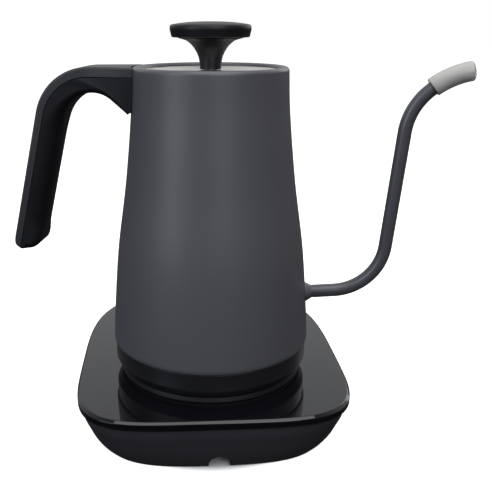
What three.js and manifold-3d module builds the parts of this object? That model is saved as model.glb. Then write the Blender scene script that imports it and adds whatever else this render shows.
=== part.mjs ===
// Gooseneck electric kettle standing on its cordless power base.
// Millimetres, +Z up. The origin is on the standing surface, straight under the kettle's axis.
// The spout points along +X and the handle along -X. The base is turned a little under the kettle,
// as a cordless base may be, because the kettle can stand on it in any direction.
import * as THREE from "three";
import { mergeVertices } from "three/addons/utils/BufferGeometryUtils.js";
import Module from "manifold-3d";

const wasm = await Module();
wasm.setup();

// ---------------------------------------------------------------- driving dimensions
const GAP = 0.3; // clearance between pieces that touch
const ROUND = 36; // sides of a large turned piece
const SMALL = 16; // sides of a small turned piece
const BODY_SIDES = 44; // sides of the kettle's body
const BODY_STEPS = 7; // steps up the body's side

const JOINT = 56; // height of the seam between the steel body and its plastic skirt
const RIM = JOINT + 166.6; // top of the rolled lip
const LIP_RADIUS = 43; // radius of the circle along the top of the lip
const LIP_ROLL = 2.4; // radius of the roll itself
const WALL = 1.3; // steel wall of the body
const MOUTH = LIP_RADIUS - LIP_ROLL; // clear radius of the mouth

const SKIRT_HEIGHT = 15.4;
const SEAT_TOP = JOINT - 16.4; // top of the seat ring, which carries the kettle
const PLATE_TOP = JOINT - 19.5; // top of the glossy base plate
const PLATE_UNDER = PLATE_TOP - 5.7;
const CAVITY = 9; // height of the cord space under the base
const COVER = 2; // thickness of the bottom cover
const BASE_TURN = THREE.MathUtils.degToRad(9.4); // how far the base is turned under the kettle

const TOWER = 17.2; // radius of the base connector's tower
const SOCKET = 18.4; // radius of the recess that takes the tower
const SOCKET_ROOF = JOINT - 4.8; // height of the recess's roof

// ---------------------------------------------------------------- materials
const paint = (color, roughness, metalness = 0) =>
  new THREE.MeshStandardMaterial({ color, roughness, metalness });
const MATERIALS = {
  body_paint: paint(0x4a4b51, 0.45, 0.3),
  soft_black: paint(0x1d1d21, 0.6),
  satin_black: paint(0x232327, 0.4),
  gloss_black: paint(0x08080a, 0.06),
  matte_black: paint(0x26262a, 0.65),
  steel: paint(0xb9b7b4, 0.3, 1),
  silicone: paint(0xc4c2be, 0.5),
  seal: paint(0x8f8f8c, 0.7),
  nylon: paint(0x35353a, 0.55),
  brass: paint(0xc39a4f, 0.3, 1),
  aluminium: paint(0xa9abad, 0.45, 1),
  rubber: paint(0x17171a, 0.9),
  board: paint(0x1f5a3a, 0.5),
  glass: paint(0x101114, 0.05),
};

// ---------------------------------------------------------------- solids
// A closed geometry as a manifold-3d solid, with its faces pointing out.
function solid(geometry) {
  const bare = (geometry.index ? geometry.toNonIndexed() : geometry.clone()).deleteAttribute("normal");
  bare.deleteAttribute("uv");
  const merged = mergeVertices(bare, 1e-4);
  const corners = [];
  for (let i = 0; i < merged.index.count; i += 3) {
    const [a, b, c] = merged.index.array.slice(i, i + 3);
    if (a !== b && b !== c && c !== a) corners.push(a, b, c);
  }
  const vertProperties = merged.attributes.position.array;
  const build = (list) =>
    new wasm.Manifold(new wasm.Mesh({ numProp: 3, vertProperties, triVerts: new Uint32Array(list) }));
  const made = build(corners);
  return made.volume() < 0 ? build(corners.reverse()) : made;
}

// A solid as a three.js geometry.
function geometryOf(made) {
  const { vertProperties, triVerts } = made.getMesh();
  const geometry = new THREE.BufferGeometry();
  geometry.setAttribute("position", new THREE.BufferAttribute(vertProperties, 3));
  geometry.setIndex(new THREE.BufferAttribute(triVerts, 1));
  geometry.computeVertexNormals();
  return geometry;
}

// A body turned about +Z from a profile of [radius, height] points.
const turned = (profile, sides = ROUND) => {
  const points = profile.map(([r, z]) => new THREE.Vector2(r, z));
  return solid(new THREE.LatheGeometry(points, sides).rotateX(Math.PI / 2));
};

// A ring of rectangular section, standing between two heights.
const ring = (inner, outer, low, high, sides = ROUND) =>
  turned([[inner, low], [outer, low], [outer, high], [inner, high], [inner, low]], sides);

const disc = (radius, low, high, sides = ROUND) =>
  turned([[0, low], [radius, low], [radius, high], [0, high]], sides);

const block = (x, y, z, dx, dy, dz) => solid(new THREE.BoxGeometry(dx, dy, dz).translate(x, y, z));

// An outline in the XZ plane given a width along Y, with bevelled edges.
function slab(shape, width, bevel, curveSegments = 7) {
  const geometry = new THREE.ExtrudeGeometry(shape, {
    depth: width - 2 * bevel,
    bevelEnabled: bevel > 0,
    bevelThickness: bevel,
    bevelSize: bevel,
    bevelOffset: -bevel,
    bevelSegments: 2,
    curveSegments,
  });
  return geometry.rotateX(Math.PI / 2).translate(0, width / 2 - bevel, 0);
}

const moved = (made, x, y, z) => made.translate([x, y, z]);

function node(name, made, material) {
  const mesh = new THREE.Mesh(geometryOf(made), MATERIALS[material]);
  mesh.name = name;
  return mesh;
}

// ---------------------------------------------------------------- steel body
// The outside of the body: a cone that curves in to a straight neck, thickened by grow.
function bodySide(grow, steps) {
  const shape = [[61.4, 0], [59.8, 25], [56.6, 60], [50.8, 100], [46.6, 140], [45.4, 164]];
  const curve = new THREE.SplineCurve(shape.map(([r, z]) => new THREE.Vector2(r, z)));
  return curve.getPoints(steps).map(({ x, y }) => [x + grow, y + JOINT]);
}

function bodyShell() {
  const roll = [];
  const rollHeight = RIM - LIP_ROLL;
  for (let i = 1; i <= 4; i += 1) {
    const angle = (Math.PI * i) / 4;
    roll.push([LIP_RADIUS + LIP_ROLL * Math.cos(angle), rollHeight + LIP_ROLL * Math.sin(angle)]);
  }
  const foot = [[60.2, JOINT], [61.2, JOINT + 1.6]]; // the lower edge rounds inwards
  const outside = bodySide(0, BODY_STEPS).slice(1);
  const inside = bodySide(-WALL, 4).slice(1, -1).reverse();
  const profile = [
    ...foot, ...outside, ...roll, [MOUTH + 0.6, RIM - 4], [44.1, RIM - 4.8], ...inside,
    [59.9, JOINT + 1.6], [59, JOINT], foot[0],
  ];
  return turned(profile, BODY_SIDES);
}

// Everything inside the body's outer surface moved out by grow, used to fit pieces against it.
const bodyEnvelope = (grow) =>
  turned([
    [0, JOINT], ...bodySide(grow, BODY_STEPS), [LIP_RADIUS + LIP_ROLL + grow, RIM + 9], [0, RIM + 9],
  ], BODY_SIDES);

const NECK_RING = { inner: MOUTH + 0.1, outer: 43.6, low: JOINT + 150, high: RIM - 5.2 };

const PROBE = { x: 27, radius: 3, low: JOINT - 4, tip: JOINT + 17 };
const HEATING_PLATE = { radius: 59.3, low: JOINT + 3, high: JOINT + 5.4 };

function heatingPlate() {
  const plate = disc(HEATING_PLATE.radius, HEATING_PLATE.low, HEATING_PLATE.high);
  const hole = disc(PROBE.radius + GAP, HEATING_PLATE.low - 1, HEATING_PLATE.high + 1, SMALL);
  return plate.subtract(moved(hole, PROBE.x, 0, 0));
}

function heatingElement() {
  const radius = 38;
  const thickness = 3.6;
  const path = new THREE.Curve();
  path.getPoint = (t) => {
    const angle = THREE.MathUtils.lerp(0.35, 2 * Math.PI - 0.35, t);
    return new THREE.Vector3(radius * Math.cos(angle), radius * Math.sin(angle), 0);
  };
  const section = new THREE.Shape().absarc(0, 0, thickness, 0, 2 * Math.PI);
  const options = { steps: 24, curveSegments: 4, extrudePath: path, bevelEnabled: false };
  return moved(solid(new THREE.ExtrudeGeometry(section, options)), 0, 0, HEATING_PLATE.low - GAP - thickness);
}

const probe = () =>
  moved(
    turned([
      [0, PROBE.low],
      [PROBE.radius, PROBE.low],
      [PROBE.radius, PROBE.tip - 2],
      [PROBE.radius * 0.7, PROBE.tip - 0.6],
      [0, PROBE.tip],
    ], SMALL),
    PROBE.x, 0, 0,
  );

const thermostat = (side) =>
  moved(disc(7, JOINT - 1.8, HEATING_PLATE.low - GAP, SMALL), 0, side * 13, 0);

// ---------------------------------------------------------------- underside of the kettle
const skirt = () =>
  turned([
    [58.4, JOINT - GAP],
    [60, JOINT - GAP],
    [60.2, JOINT - 1],
    [60.2, JOINT - 9.6],
    [59.3, JOINT - 11.4],
    [57, JOINT - SKIRT_HEIGHT],
    [55.2, JOINT - SKIRT_HEIGHT],
    [58.4, JOINT - GAP],
  ]);

// The cover under the heater, with the ring foot on which the kettle stands.
const kettleCover = () =>
  turned([
    [22.4, JOINT - 11.1],
    [49.5, JOINT - 11.1],
    [50, SEAT_TOP + GAP],
    [54, SEAT_TOP + GAP],
    [54.8, JOINT - 9.3],
    [22.4, JOINT - 9.3],
    [22.4, JOINT - 11.1],
  ]);

const SOCKET_BOTTOM = JOINT - 14.4;

const kettleConnector = () =>
  turned([
    [SOCKET, SOCKET_BOTTOM],
    [22, SOCKET_BOTTOM],
    [22, JOINT - 2.5],
    [0, JOINT - 2.5],
    [0, SOCKET_ROOF],
    [SOCKET, SOCKET_ROOF],
    [SOCKET, SOCKET_BOTTOM],
  ]);

const CONTACT_LOW = JOINT - 12;
const CONTACT = { outer: 12, inner: 7 }; // radii of the two contact rings
const contactRing = (radius) =>
  ring(radius - 0.5, radius + 0.5, CONTACT_LOW, SOCKET_ROOF - GAP, SMALL + 8);

// ---------------------------------------------------------------- spout
// The middle line of the gooseneck, in the XZ plane: straight, bend, straight and two bends.
const SPOUT = { radius: 4, wall: 0.8, startX: 57, startZ: JOINT + 30 };
const SPOUT_RUNS = [
  { length: 19.9, from: 5.6 },
  { bend: 32.7, from: 5.6, to: 84.9 },
  { length: 68.9, from: 84.9 },
  { bend: 35.4, from: 84.9, to: 39 },
  { bend: 48.3, from: 39, to: 12 },
];
const TIP = SPOUT_RUNS.at(-1);

// The point and heading (in degrees) a given distance along the middle line.
function alongSpout(distance) {
  let [x, z, left] = [SPOUT.startX, SPOUT.startZ, distance];
  for (const run of SPOUT_RUNS) {
    const turn = run.bend ? THREE.MathUtils.degToRad(run.to - run.from) : 0;
    const length = run.bend ? Math.abs(turn) * run.bend : run.length;
    const part = run === TIP ? left : Math.min(left, length);
    const start = THREE.MathUtils.degToRad(run.from);
    const end = start + (turn * part) / length;
    const chord = run.bend ? (2 * run.bend * Math.sin(Math.abs(end - start) / 2)) : part;
    const middle = (start + end) / 2;
    x += chord * Math.cos(middle);
    z += chord * Math.sin(middle);
    left -= part;
    if (left <= 1e-9) return { x, z, heading: end };
  }
  return null;
}

const SPOUT_LENGTH = SPOUT_RUNS.reduce(
  (sum, run) =>
    sum + (run.length ?? run.bend * THREE.MathUtils.degToRad(Math.abs(run.to - run.from))),
  0,
);

// A round bar along part of the middle line, moved away from it by lift on its upper side.
function spoutBar(from, to, radius, steps, sides, lift = 0) {
  const path = new THREE.Curve();
  path.getPoint = (t) => {
    const { x, z, heading } = alongSpout(THREE.MathUtils.lerp(from, to, t));
    return new THREE.Vector3(x - lift * Math.sin(heading), 0, z + lift * Math.cos(heading));
  };
  path.getPointAt = path.getPoint;
  path.getTangentAt = (t) => {
    const { heading } = alongSpout(THREE.MathUtils.lerp(from, to, t));
    return new THREE.Vector3(Math.cos(heading), 0, Math.sin(heading));
  };
  const section = new THREE.Shape().absarc(0, 0, radius, 0, 2 * Math.PI);
  const options = { steps, curveSegments: sides / 2, extrudePath: path, bevelEnabled: false };
  return solid(new THREE.ExtrudeGeometry(section, options));
}

function spoutTube() {
  const outside = spoutBar(0, SPOUT_LENGTH, SPOUT.radius, 26, 10);
  const bore = spoutBar(-1, SPOUT_LENGTH + 1, SPOUT.radius - SPOUT.wall, 26, 10);
  const tip = alongSpout(SPOUT_LENGTH);
  const cutter = new THREE.BoxGeometry(20, 20, 20)
    .translate(10, 0, 0)
    .rotateY(-THREE.MathUtils.degToRad(47) - tip.heading)
    .translate(tip.x + SPOUT.radius * Math.sin(tip.heading), 0, tip.z - SPOUT.radius * Math.cos(tip.heading));
  return outside.subtract(bore).subtract(solid(cutter));
}

// A thin pressed ring where the spout leaves the body, and the hole through the body's wall.
const spoutHole = () => spoutBar(-8, 12, SPOUT.radius + GAP, 1, 16);

const spoutCollar = () =>
  spoutBar(3.2, 4.6, SPOUT.radius + 1.4, 1, 16)
    .subtract(spoutHole())
    .subtract(bodyEnvelope(GAP));

// A perforated plate inside the body, in front of the spout's inlet.
function spoutStrainer() {
  let plate = disc(9.5, 0, 1, SMALL);
  const hole = disc(1.1, -1, 2, 8);
  plate = plate.subtract(hole);
  for (let i = 0; i < 6; i += 1) {
    const angle = (Math.PI * i) / 3;
    plate = plate.subtract(moved(hole, 5.4 * Math.cos(angle), 5.4 * Math.sin(angle), 0));
  }
  return moved(plate.rotate([0, 90, 0]), SPOUT.startX - 3, 0, SPOUT.startZ);
}

// The soft cap that covers the spout's tip. It slips off along the tip's own curve.
const CAP = { length: 21.6, beyond: 2.2, radius: 5.6, wall: 1.1, end: 1, lift: 0.4 };

function spoutCap() {
  const start = SPOUT_LENGTH - CAP.length;
  const end = SPOUT_LENGTH + CAP.beyond;
  const outside = spoutBar(start, end, CAP.radius, 8, 14, CAP.lift);
  const inside = spoutBar(start - 1, end - CAP.end, CAP.radius - CAP.wall, 8, 14);
  return outside.subtract(inside);
}

// ---------------------------------------------------------------- handle
const HANDLE = {
  top: RIM - 0.1,
  tilt: THREE.MathUtils.degToRad(13.8), // the grip leans out by this much towards its lower end
  through: [-105.4, JOINT + 125.4], // a point on the grip's outer face
  halfWidth: 13,
  flare: 0.31, // how much wider it is at the body
  flareStart: -73,
  flareLength: 27,
  bevel: 0.8,
};
const GRIP_THICKNESS = 16;
// The grip's lower end: its outer corner rounds over this rise and run, its inner corner from a height.
const GRIP_FOOT = { low: JOINT + 56.2, rise: 7.5, run: 8.5, inner: JOINT + 64.2 };

// The bend between a level line below the top and a slanted line inside the outer face.
function bend(below, inside, radius) {
  const [sin, cos] = [Math.sin(HANDLE.tilt), Math.cos(HANDLE.tilt)];
  const [px, pz] = HANDLE.through;
  const z = HANDLE.top - below - radius;
  const reach = sin * pz - cos * px - inside - radius;
  return { x: (sin * z - reach) / cos, z, radius, end: Math.PI - HANDLE.tilt };
}

// The x of the slanted line a distance inside the outer face, at height z.
function gripLine(inside, z) {
  const [px, pz] = HANDLE.through;
  return px - (pz - z) * Math.tan(HANDLE.tilt) + inside / Math.cos(HANDLE.tilt);
}

// Widen a handle piece smoothly as it nears the body.
function flared(geometry) {
  const at = geometry.attributes.position;
  for (let i = 0; i < at.count; i += 1) {
    const t = THREE.MathUtils.smoothstep(
      at.getX(i), HANDLE.flareStart, HANDLE.flareStart + HANDLE.flareLength);
    at.setY(i, at.getY(i) * (1 + HANDLE.flare * t));
  }
  return geometry;
}

const FLARE_STEPS = [-52, -58, -64]; // places along the arm where its sides follow the flare
const STRIP = { top: 5.8, side: 4.6, radius: 29 };

// Where a line inside the outer face meets the rounded outer corner of the grip's lower end.
function footMeets(inside) {
  const share = Math.sqrt(inside / GRIP_FOOT.run);
  return { share, z: GRIP_FOOT.low + GRIP_FOOT.rise * (1 - share) ** 2 };
}

function topStrip() {
  const outer = bend(0, 0, 34);
  const seam = bend(STRIP.top, STRIP.side, STRIP.radius);
  const bodyEnd = -36;
  const shape = new THREE.Shape();
  shape.moveTo(bodyEnd, HANDLE.top);
  for (const x of FLARE_STEPS) shape.lineTo(x, HANDLE.top);
  shape.absarc(outer.x, outer.z, outer.radius, Math.PI / 2, outer.end);
  const { low: foot, rise } = GRIP_FOOT;
  const meets = footMeets(STRIP.side);
  const control = foot + rise * (1 - meets.share);
  shape.lineTo(gripLine(0, foot + rise), foot + rise);
  shape.quadraticCurveTo(gripLine(0, control), control, gripLine(STRIP.side, meets.z), meets.z);
  shape.absarc(seam.x, seam.z, seam.radius, seam.end, Math.PI / 2, true);
  for (const x of FLARE_STEPS.toReversed()) shape.lineTo(x, HANDLE.top - STRIP.top);
  shape.lineTo(bodyEnd, HANDLE.top - STRIP.top);
  const made = solid(flared(slab(shape, 2 * HANDLE.halfWidth, HANDLE.bevel)));
  return made.subtract(bodyEnvelope(0.4));
}

const TONGUE = { low: JOINT + 153, high: JOINT + 155.5, halfWidth: 8, endX: -64 };
const BRACKET = { halfWidth: 9, low: JOINT + 145.5, high: JOINT + 159, thickness: 1.6 };
const HANDLE_SCREW = { x: -55.5, y: 4.6, shank: 1.5, head: 2.9, headLow: JOINT + 149.3, tip: JOINT + 158 };

function handleScrew(side) {
  const { shank, head, headLow, tip } = HANDLE_SCREW;
  const profile = [[0, headLow], [head, headLow], [head, headLow + 2], [shank, headLow + 2],
    [shank, tip - 1], [0, tip]];
  return moved(turned(profile, 16), HANDLE_SCREW.x, side * HANDLE_SCREW.y, 0);
}

// A room for a handle screw: a counterbore from below and a clearance hole above it.
function screwRoom(side) {
  const { x, y, shank, head, headLow, tip } = HANDLE_SCREW;
  const wide = disc(head + GAP, headLow - 12, headLow + 2 + GAP, 16);
  const narrow = disc(shank + GAP, headLow, tip + 0.5, 16);
  return moved(wide.add(narrow), x, side * y, 0);
}

function grip() {
  const seam = bend(STRIP.top + GAP, STRIP.side + GAP, STRIP.radius - GAP);
  const arch = bend(14.8, GRIP_THICKNESS, 19);
  const archEnd = THREE.MathUtils.degToRad(52);
  const bodyEnd = -40;
  const corner = [-46.2, JOINT + 140.1]; // the lower corner at the body
  const { low: foot, run, inner: low } = GRIP_FOOT;
  const seamFoot = footMeets(STRIP.side + GAP).z;
  const shape = new THREE.Shape();
  shape.moveTo(bodyEnd, HANDLE.top - STRIP.top - GAP);
  for (const x of FLARE_STEPS) shape.lineTo(x, HANDLE.top - STRIP.top - GAP);
  shape.absarc(seam.x, seam.z, seam.radius, Math.PI / 2, seam.end);
  shape.lineTo(gripLine(STRIP.side + GAP, seamFoot), seamFoot);
  shape.lineTo(gripLine(run, foot), foot);
  shape.lineTo(gripLine(run + 1, foot), foot);
  shape.quadraticCurveTo(gripLine(GRIP_THICKNESS - 0.3, foot), foot, gripLine(GRIP_THICKNESS, low), low);
  shape.absarc(arch.x, arch.z, arch.radius, arch.end, archEnd, true);
  shape.lineTo(corner[0], corner[1]);
  shape.lineTo(bodyEnd, corner[1] + 4.5);
  let made = solid(flared(slab(shape, 2 * HANDLE.halfWidth, HANDLE.bevel)));
  made = made.subtract(bodyEnvelope(0.4));
  const pocket = block(-45, 0, (BRACKET.low + BRACKET.high) / 2, 11,
    2 * BRACKET.halfWidth + 1, BRACKET.high - BRACKET.low + 1);
  const slot = block((TONGUE.endX - 40) / 2 - GAP, 0, (TONGUE.low + TONGUE.high) / 2,
    -40 - TONGUE.endX, 2 * TONGUE.halfWidth + 1, TONGUE.high - TONGUE.low + 2 * GAP);
  return made.subtract(pocket).subtract(slot).subtract(screwRoom(1)).subtract(screwRoom(-1));
}

// The steel bracket welded to the body: a curved foot with a level tongue in the handle's core.
function handleBracket() {
  const { halfWidth, low, high, thickness } = BRACKET;
  const foot = block(-45, 0, (low + high) / 2, 16, 2 * halfWidth, high - low)
    .intersect(bodyEnvelope(GAP + thickness));
  const tongue = block((TONGUE.endX - 44) / 2, 0, (TONGUE.low + TONGUE.high) / 2,
    -44 - TONGUE.endX, 2 * TONGUE.halfWidth, TONGUE.high - TONGUE.low);
  const made = foot.add(tongue).subtract(bodyEnvelope(GAP));
  return made.subtract(screwRoom(1)).subtract(screwRoom(-1));
}

// ---------------------------------------------------------------- lid
const LID = { radius: 40, top: RIM - 2, thickness: 1.4, skirt: 37.7, skirtLow: JOINT + 150 };
const KNOB_BASE = LID.top + GAP;
const KNOB_SPLIT = JOINT + 182.2;
const KNOB_SCREW = { shank: 1.5, tip: JOINT + 187, head: 3.6, headTop: LID.top - LID.thickness - GAP };

// A steam slot through the lid: an arc-shaped gap at a radius, between two angles in degrees.
function steamSlot(radius, from, to) {
  const [start, end] = [from, to].map(THREE.MathUtils.degToRad);
  const shape = new THREE.Shape();
  shape.absarc(0, 0, radius + 0.8, start, end);
  shape.absarc(0, 0, radius - 0.8, end, start, true);
  const geometry = new THREE.ExtrudeGeometry(shape, { depth: 8, bevelEnabled: false, curveSegments: 4 });
  return solid(geometry.translate(0, 0, LID.top - 5));
}

function lidPlate() {
  const low = LID.top - LID.thickness;
  const made = turned([
    [KNOB_SCREW.shank + GAP, low],
    [LID.radius - 1, low],
    [LID.radius, low + 0.6],
    [LID.radius - 0.4, LID.top],
    [KNOB_SCREW.shank + GAP, LID.top],
    [KNOB_SCREW.shank + GAP, low],
  ]);
  return made.subtract(steamSlot(36.2, 146, 159)).subtract(steamSlot(36.2, 163, 170));
}

// The cup under the lid, with steam holes in its floor.
function lidSkirt() {
  const { skirt: radius, skirtLow: low } = LID;
  const high = LID.top - LID.thickness - GAP;
  const wall = 1.2;
  let made = turned([
    [0, low], [radius, low], [radius, high],
    [radius - wall, high], [radius - wall, low + wall], [0, low + wall],
  ]);
  const hole = disc(2.2, low - 1, low + 3, 8);
  for (let i = 0; i < 6; i += 1) {
    const angle = (Math.PI * i) / 3;
    made = made.subtract(moved(hole, 24 * Math.cos(angle), 24 * Math.sin(angle), 0));
  }
  return made;
}

// The soft seal round the cup, with two lips.
const lidSeal = () =>
  turned([
    [LID.skirt + GAP, JOINT + 151.5],
    [MOUTH - GAP, JOINT + 153],
    [MOUTH - 1.2, JOINT + 155],
    [MOUTH - GAP, JOINT + 157],
    [LID.skirt + GAP, JOINT + 159],
    [LID.skirt + GAP, JOINT + 151.5],
  ]);

// The flared stem of the lid's knob: a cone that opens out smoothly under the disc.
function knobStem() {
  const bore = KNOB_SCREW.shank + GAP;
  const flare = new THREE.SplineCurve(
    [[6.1, 0], [6.4, 4], [7.4, 7.8], [9.8, 12.2], [13.2, 15.4], [16.2, 16.6]]
      .map(([r, z]) => new THREE.Vector2(r, z + KNOB_BASE)));
  const side = flare.getPoints(7).map(({ x, y }) => [x, y]);
  return turned([[bore, KNOB_BASE], ...side, [16.4, KNOB_SPLIT], [bore, KNOB_SPLIT], [bore, KNOB_BASE]], 24);
}

function knobDisc() {
  const low = KNOB_SPLIT + GAP;
  const made = turned([
    [0, low], [21.6, low], [22.5, low + 0.8], [23.3, low + 4.8], [22.9, low + 6], [20.4, low + 7.1],
    [12.5, low + 8.2], [0, low + 8.7],
  ]);
  return made.subtract(disc(KNOB_SCREW.shank + GAP, low - 1, KNOB_SCREW.tip + GAP, SMALL));
}

const knobScrew = () =>
  turned([
    [0, KNOB_SCREW.headTop - 2.4],
    [KNOB_SCREW.head, KNOB_SCREW.headTop - 2.4],
    [KNOB_SCREW.head, KNOB_SCREW.headTop],
    [KNOB_SCREW.shank, KNOB_SCREW.headTop],
    [KNOB_SCREW.shank, KNOB_SCREW.tip - 1],
    [0, KNOB_SCREW.tip],
  ], SMALL);

// ---------------------------------------------------------------- power base
// The base's outline seen from above: a rounded oblong, longer on the control side (+Y of the base).
const OUTLINE = { halfWidth: 83, middleY: 8, front: 85.3, back: 116, frontPower: 4.7, backPower: 3.2 };

// The point at an angle on the outline, drawn in by inset; the corners get rounder as it shrinks.
function outlinePoint(angle, inset) {
  const [cos, sin] = [Math.cos(angle), Math.sin(angle)];
  const power = sin < 0 ? Math.max(OUTLINE.frontPower - 0.11 * inset, 3) : OUTLINE.backPower;
  const reach = (sin < 0 ? OUTLINE.front : OUTLINE.back) - inset;
  const x = Math.sign(cos) * (OUTLINE.halfWidth - inset) * Math.abs(cos) ** (2 / power);
  const y = OUTLINE.middleY + Math.sign(sin) * reach * Math.abs(sin) ** (2 / power);
  return [x, y];
}

// A body swept round the outline from a profile of [inset, height] points.
// A profile closes on itself, or starts and ends at the middle, where its inset is null.
function swept(profile, sides = 48) {
  const corners = profile.map(([inset, z]) =>
    Array.from({ length: sides }, (_, i) => {
      const [x, y] = inset === null ? [0, OUTLINE.middleY] : outlinePoint((2 * Math.PI * i) / sides, inset);
      return [x, y, z];
    }));
  const faces = [];
  for (let j = 0; j + 1 < corners.length; j += 1) {
    for (let i = 0; i < sides; i += 1) {
      const next = (i + 1) % sides;
      const [a, b, c, d] = [corners[j][i], corners[j][next], corners[j + 1][next], corners[j + 1][i]];
      faces.push(...a, ...b, ...c, ...a, ...c, ...d);
    }
  }
  const geometry = new THREE.BufferGeometry();
  geometry.setAttribute("position", new THREE.Float32BufferAttribute(faces, 3));
  return solid(geometry);
}

const SCREW_SPOTS = [[-56, -28], [56, -28], [-56, 74], [56, 74]];
const FOOT_SPOTS = [[-48, -40], [48, -40], [-50, 85], [50, 85]];
const PANEL = { y: 95, halfX: 48, halfY: 15, thickness: 0.8 };
const BASE_SCREW = { shank: 1.5, head: 2.9, headTop: CAVITY - GAP, tip: 26 };

function basePlate() {
  let made = swept([
    [null, PLATE_UNDER], [1.2, PLATE_UNDER], [0, PLATE_UNDER + 1.2],
    [0, PLATE_TOP - 1.6], [1.6, PLATE_TOP], [null, PLATE_TOP],
  ]);
  made = made.subtract(disc(TOWER + 0.4, PLATE_UNDER - 1, PLATE_TOP + 1, 32));
  const recess = block(0, PANEL.y, PLATE_TOP, 2 * (PANEL.halfX + GAP), 2 * (PANEL.halfY + GAP),
    2 * (PANEL.thickness + GAP));
  made = made.subtract(recess);
  for (const [x, y] of SCREW_SPOTS) {
    const boss = ring(BASE_SCREW.shank + GAP, 4, CAVITY + COVER + GAP, PLATE_UNDER + 1, 10);
    made = made.add(moved(boss, x, y, 0));
  }
  return made;
}

const seatRing = () =>
  turned([
    [46, PLATE_TOP + GAP], [57.2, PLATE_TOP + GAP], [57, PLATE_TOP + 1.2], [56.2, SEAT_TOP - 0.3],
    [55.9, SEAT_TOP], [49, SEAT_TOP], [46, PLATE_TOP + GAP],
  ]);

// The arch in the lower housing's wall where the cord leaves the space under the base.
const NOTCH = { x: 1.2, halfWidth: 6.2, height: 9.4 };

function baseHousing() {
  const high = PLATE_UNDER - GAP;
  const wall = 2.4;
  const outside = [[1.7, high], [2.4, 25], [4.3, 18.5], [6.5, 11.4], [9.2, 5], [11.5, 0.8]];
  const inside = outside.filter((_, i) => i !== 1).map(([inset, z]) => [inset + wall, z]).reverse();
  const made = swept([...outside, ...inside, outside[0]]);
  const arch = new THREE.Shape();
  arch.moveTo(-NOTCH.halfWidth, -3);
  arch.lineTo(-NOTCH.halfWidth, NOTCH.height - NOTCH.halfWidth);
  arch.absarc(0, NOTCH.height - NOTCH.halfWidth, NOTCH.halfWidth, Math.PI, 0, true);
  arch.lineTo(NOTCH.halfWidth, -3);
  const cutter = slab(arch, 40, 0, 8).translate(NOTCH.x, -70, 0);
  return made.subtract(solid(cutter));
}

const GLAND = { x: 16, y: -34, radius: 4.6, bore: 3.4 };

// The bottom cover, with a hub in its middle on which spare cord is wound, and four legs.
function bottomCover() {
  let made = swept([
    [null, CAVITY], [10.5, CAVITY], [9.7, CAVITY + COVER], [null, CAVITY + COVER],
  ]);
  const hub = turned([
    [0, 0], [34, 0], [34, 2], [24, 2.6], [24, CAVITY + 1], [22, CAVITY + 1], [22, 2], [0, 2],
  ], 28);
  made = made.subtract(disc(22, CAVITY - 1, CAVITY + COVER + 1, 28)).add(hub);
  for (const [x, y] of FOOT_SPOTS) made = made.add(moved(disc(7.6, 2, CAVITY + 1, 12), x, y, 0));
  const hole = (radius, sides) => disc(radius + GAP, CAVITY - 1, CAVITY + COVER + 1, sides);
  for (const [x, y] of SCREW_SPOTS) made = made.subtract(moved(hole(BASE_SCREW.shank, 8), x, y, 0));
  return made.subtract(moved(hole(GLAND.radius, SMALL), GLAND.x, GLAND.y, 0));
}

// The bush through which the cord comes out of the base's inside.
const cordGland = () =>
  moved(
    turned([
      [GLAND.bore, CAVITY - 2.4], [6.6, CAVITY - 2.4], [6.6, CAVITY - GAP], [GLAND.radius, CAVITY - GAP],
      [GLAND.radius, CAVITY + 6], [GLAND.bore, CAVITY + 6], [GLAND.bore, CAVITY - 2.4],
    ], SMALL),
    GLAND.x, GLAND.y, 0,
  );

const foot = ([x, y]) => moved(turned([[0, 0], [6.6, 0], [7, 1.7], [0, 1.7]], SMALL), x, y, 0);

const baseScrew = ([x, y]) =>
  moved(
    turned([
      [0, BASE_SCREW.headTop - 2], [BASE_SCREW.head, BASE_SCREW.headTop - 2],
      [BASE_SCREW.head, BASE_SCREW.headTop], [BASE_SCREW.shank, BASE_SCREW.headTop],
      [BASE_SCREW.shank, BASE_SCREW.tip - 1], [0, BASE_SCREW.tip],
    ], 10),
    x, y, 0,
  );

// The tower that plugs into the kettle, with grooves and a hole for its contacts.
function baseConnector() {
  const top = JOINT - 6.5;
  const floor = CONTACT_LOW - 1;
  const room = 1.4; // half the width of a groove
  const { outer, inner } = CONTACT;
  return turned([
    [0, 22], [23, 22], [23, PLATE_UNDER - GAP], [TOWER, PLATE_UNDER - GAP], [TOWER, top],
    [outer + room, top], [outer + room, floor], [outer - room, floor], [outer - room, top],
    [inner + room, top], [inner + room, floor], [inner - room, floor], [inner - room, top],
    [3, top], [3, floor], [0, floor],
  ], SMALL + 8);
}

// The splash collar round the tower. It turns with the kettle.
const splashCollar = () =>
  turned([
    [TOWER + 0.6, PLATE_TOP + GAP], [27, PLATE_TOP + GAP], [26.4, PLATE_TOP + 2.2],
    [TOWER + 3, PLATE_TOP + 4], [TOWER + 0.6, PLATE_TOP + 4], [TOWER + 0.6, PLATE_TOP + GAP],
  ], 32);

const touchPanel = () =>
  block(0, PANEL.y, PLATE_TOP - PANEL.thickness / 2, 2 * PANEL.halfX, 2 * PANEL.halfY, PANEL.thickness);

const BOARD = { thickness: 1.6, middle: 16, y: 48 }; // the power board
const ON_BOARD = BOARD.middle + BOARD.thickness / 2 + GAP;

const displayModule = () => block(0, PANEL.y - 4, 28.2, 74, 24, 4.4);
const controlBoard = () => block(0, PANEL.y - 6, 24, 84, 34, BOARD.thickness);
const powerBoard = () => block(0, BOARD.y, BOARD.middle, 78, 46, BOARD.thickness);
const transformer = () => block(-22, BOARD.y, ON_BOARD + 5.5, 26, 22, 11);
const relay = () => block(18, BOARD.y + 4, ON_BOARD + 5, 20, 16, 10);
const capacitor = () => moved(disc(5, ON_BOARD, 27.5), 30, BOARD.y - 15, 0);

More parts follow.
